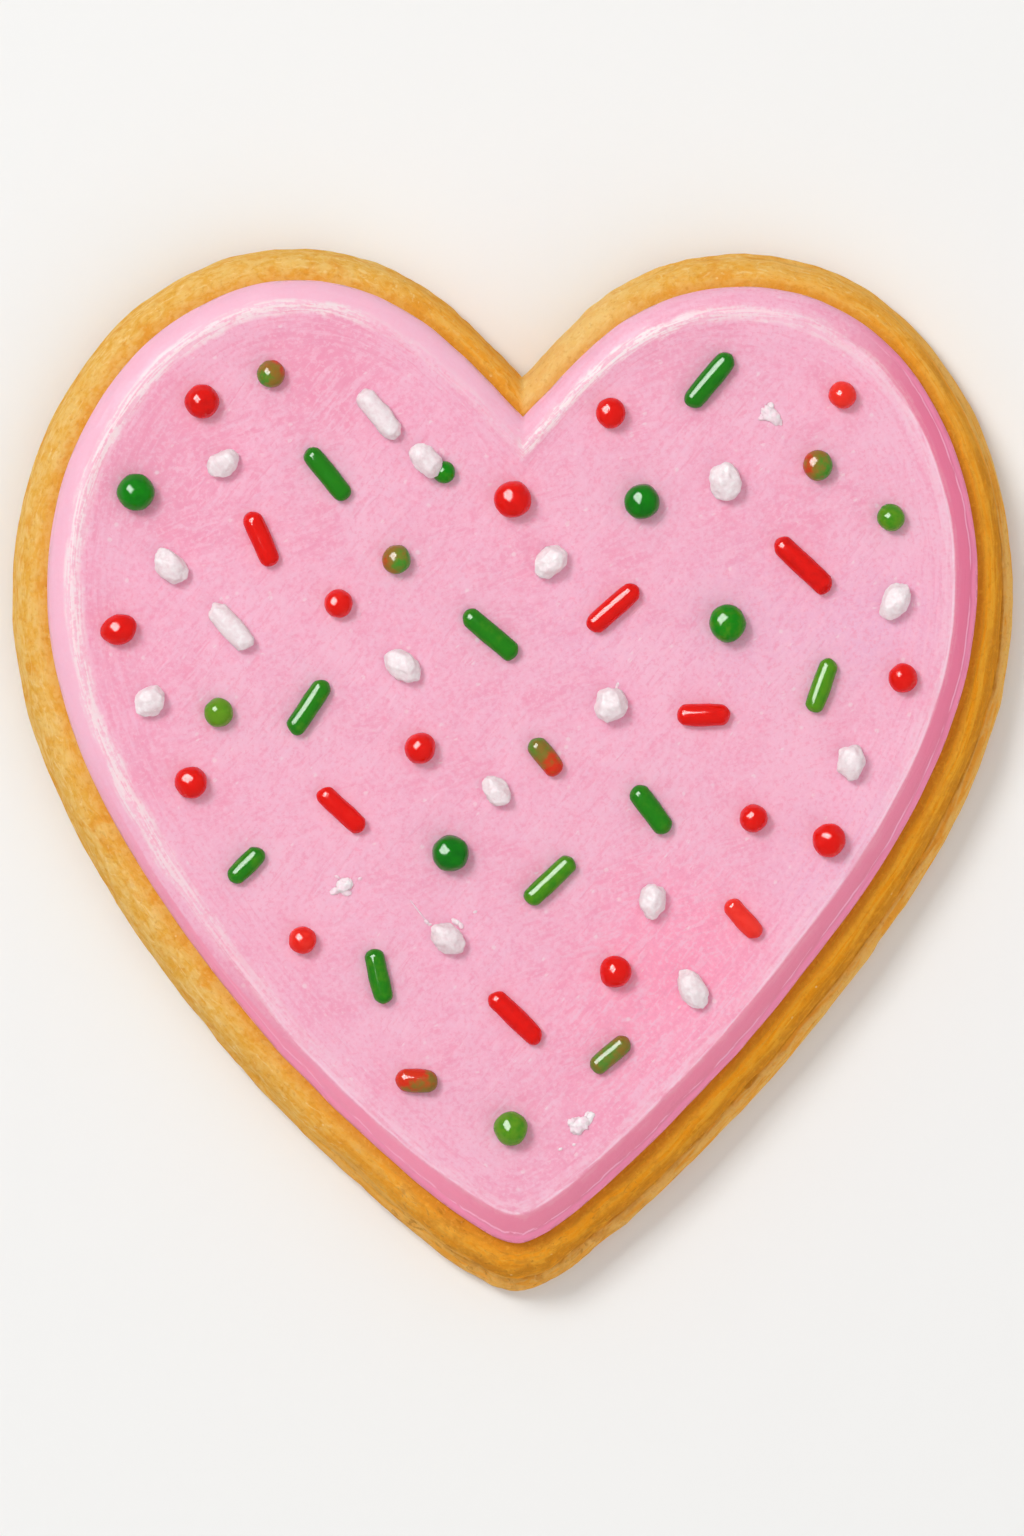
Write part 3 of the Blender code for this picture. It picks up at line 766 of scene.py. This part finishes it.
def sprinkleFinish(look, form, bleeding):
    sugar = sugars[form["sugar"]]
    material, tree, shader, where = newFinish(look["name"] + "Sugar", {
        "Specular IOR Level": sugar["specular"],
        "Subsurface Weight": sugar["scatter"],
        "Subsurface Radius": sugar["reach"],
        "Subsurface Scale": 0.0006,
    })
    shade = addNode(tree, "ShaderNodeAttribute", attribute_name="shade").outputs["Fac"]
    mottle = grain(tree, where, sugar["mottle"], 3)
    amount = sugar["uneven"] * (2 if bleeding else 1)
    shift = sums(tree, span(tree, mottle, 0.25, 0.75, -amount, amount), shade, "ADD")
    tone = mixed(tree, span(tree, shift, -1, 0), look["deep"], look["body"])
    tone = mixed(tree, span(tree, shift, 0, 1), tone, look["light"])
    fine = grain(tree, where, 0.5, 3)
    relief = stacked(tree, (fine, form["bump"]))
    roughness = span(tree, fine, 0.2, 0.8, 0.85 * form["roughness"], 1.3 * form["roughness"])
    linked(tree, shader, tone, roughness, relief)
    return material


def lumpy(verts, seed, form):
    for vert in verts:
        spot = vert.co + seed * Vector((13.7, 5.3, 2.9))  # far from the last one's noise
        vert.co *= 1 + form["lumps"] * waves(spot, form["lumpLength"], 2)


def facetedNugget(bm, half, seed):
    # a lump of sugar with small flat cuts all round, their edges worn
    draw = random.Random(seed)
    verts = bmesh.ops.create_icosphere(bm, subdivisions=5, radius=half * nuggetCuts["start"])["verts"]
    for _ in range(nuggetCuts["count"]):
        cut = Vector([draw.gauss(0, 1) for axis in range(3)]).normalized()
        reach = half * draw.uniform(nuggetCuts["nearest"], nuggetCuts["farthest"])
        for vert in verts:
            vert.co -= max(0.0, vert.co.dot(cut) - reach) * cut
    for _ in range(nuggetCuts["smoothings"]):
        bmesh.ops.smooth_vert(bm, verts=verts, factor=0.5, use_axis_x=True, use_axis_y=True, use_axis_z=True)
    return verts


def makeSprinkles(look, surface):
    form = sprinkleShapes[look["shape"]]
    places = look["places"]
    bleeding = len(places[0]) > 6
    bm = bmesh.new()
    shadeLayer = bm.verts.layers.float.new("shade")
    for index, place in enumerate(places):
        x, y, width, length, turn, shade = place[:6]
        half = 0.5 * width
        if look["shape"] in ("rod", "roughRod"):
            verts = bmesh.ops.create_uvsphere(bm, u_segments=24, v_segments=30, radius=half)["verts"]
            bmesh.ops.rotate(bm, verts=verts, matrix=Matrix.Rotation(math.radians(90), 3, "Y"))
            for vert in verts:  # the rings near the middle spread along the rod
                share = max(-1.0, min(1.0, vert.co.x / (rodMiddle * half)))
                vert.co.x += share * (0.5 * length - half)
        else:
            if look["shape"] == "pearl":
                verts = bmesh.ops.create_uvsphere(bm, u_segments=36, v_segments=24, radius=half)["verts"]
            elif look["shape"] == "nugget":
                verts = facetedNugget(bm, half, index)
            else:
                verts = bmesh.ops.create_icosphere(bm, subdivisions=4, radius=half)["verts"]
            bmesh.ops.scale(bm, verts=verts, vec=(length / width, 1, form["high"]))
        lumpy(verts, index + 1, form)
        way = math.radians(place[6] - turn) if bleeding else 0
        for vert in verts:
            lean = (vert.co.x * math.cos(way) + vert.co.y * math.sin(way)) / (0.5 * length)
            vert[shadeLayer] = shade + (place[7] * lean if bleeding else 0)
        hit = surface.ray_cast(Vector((x, y, 30)) * mm, Vector((0, 0, -1)))[0]
        rise = hit.z / mm + half * form["high"] * (1 - form["sunk"])
        if (x, y) == raisedNugget["place"]:
            rise += raisedNugget["by"]
        bmesh.ops.rotate(bm, verts=verts, matrix=Matrix.Rotation(math.radians(turn), 3, "Z"))
        bmesh.ops.translate(bm, verts=verts, vec=(x, y, rise))
    bmesh.ops.scale(bm, verts=bm.verts, vec=(mm, mm, mm))
    bmesh.ops.recalc_face_normals(bm, faces=bm.faces)
    return finishPiece(bm, look["name"], sprinkleFinish(look, form, bleeding), "icing")


studio = {
    "lens": 540.0,
    "sensor": 36.0,
    "frameHeight": 138.24,  # mm of the photo's long side
    "aim": (-0.09, 0.225, 6.0),
    "clipEnd": 20.0,  # m, as is the next
    "floorReach": 3.0,
    "floorBelow": 0.05,  # mm
    "floor": (0.88, 0.875, 0.86),
    "world": (1.0, 1.0, 1.0),
    "worldStrength": 0.509,
    # the window and the fill light the food, and the pane only shows as a glint in the sugar
    "lamps": {
        "windowLight": {
            "azimuth": 137, "elevation": 54, "distance": 1.7, "size": 0.5, "power": 13.9, "shine": False,
        },
        "paneShine": {
            "azimuth": 137, "elevation": 51, "distance": 1.7, "size": 1.4, "power": 200.0, "shine": True,
        },
        "fillLight": {
            "azimuth": -42, "elevation": 50, "distance": 2.5, "size": 2.5, "power": 15.2, "shine": False,
        },
    },
}


def areaLight(name, look):
    azimuth = math.radians(look["azimuth"])
    elevation = math.radians(look["elevation"])
    flat = math.cos(elevation)
    towards = Vector((flat * math.cos(azimuth), flat * math.sin(azimuth), math.sin(elevation)))
    place = look["distance"] * towards
    light = bpy.data.lights.new(name, "AREA")
    light.shape = "SQUARE"
    light.size = look["size"]
    light.energy = look["power"]
    lamp = bpy.data.objects.new(name, light)
    lamp.location = place
    lamp.visible_diffuse = not look["shine"]
    lamp.visible_glossy = look["shine"]
    lamp.rotation_euler = (-place).to_track_quat("-Z", "Y").to_euler()
    bpy.context.scene.collection.objects.link(lamp)


def makeStudio():
    scene = bpy.context.scene
    scene.view_settings.view_transform = "Standard"
    scene.view_settings.look = "None"
    world = bpy.data.worlds.new("studioLight")
    world.use_nodes = True
    sky = world.node_tree.nodes["Background"]
    sky.inputs[0].default_value = (*studio["world"], 1)
    sky.inputs[1].default_value = studio["worldStrength"]
    scene.world = world
    for name, look in studio["lamps"].items():
        areaLight(name, look)

    bm = bmesh.new()
    bmesh.ops.create_grid(bm, x_segments=2, y_segments=2, size=studio["floorReach"])
    bmesh.ops.translate(bm, verts=bm.verts, vec=(0, 0, -studio["floorBelow"] * mm))
    mesh = bpy.data.meshes.new("paleFloor")
    bm.to_mesh(mesh)
    bm.free()
    plain, _, shader, _ = newFinish("plainFloor", {"Roughness": 0.9, "Specular IOR Level": 0.0})
    shader.inputs["Base Color"].default_value = (*studio["floor"], 1)
    mesh.materials.append(plain)
    floor = bpy.data.objects.new("paleFloor", mesh)
    scene.collection.objects.link(floor)

    camera = bpy.data.cameras.new("photoView")
    camera.lens = studio["lens"]
    camera.sensor_width = studio["sensor"]
    camera.clip_end = studio["clipEnd"]
    view = bpy.data.objects.new("photoView", camera)
    x, y, z = studio["aim"]
    distance = studio["frameHeight"] * studio["lens"] / studio["sensor"]
    view.location = Vector((x, y, z + distance)) * mm
    scene.collection.objects.link(view)
    scene.camera = view


makeBiscuit()
print("biscuit baked")
icingSurface = makeIcing()
print("icing spread")
coloured = (redPearls, greenPearls, mixedPearls, redRods, greenRods, mixedRods)
for kind in coloured + (whiteRods, whiteNuggets, sugarSpecks):
    made = makeSprinkles(kind, icingSurface)
    print(kind["name"], "scattered,", len(made.data.polygons), "faces")
makeStudio()
print("studio lit")
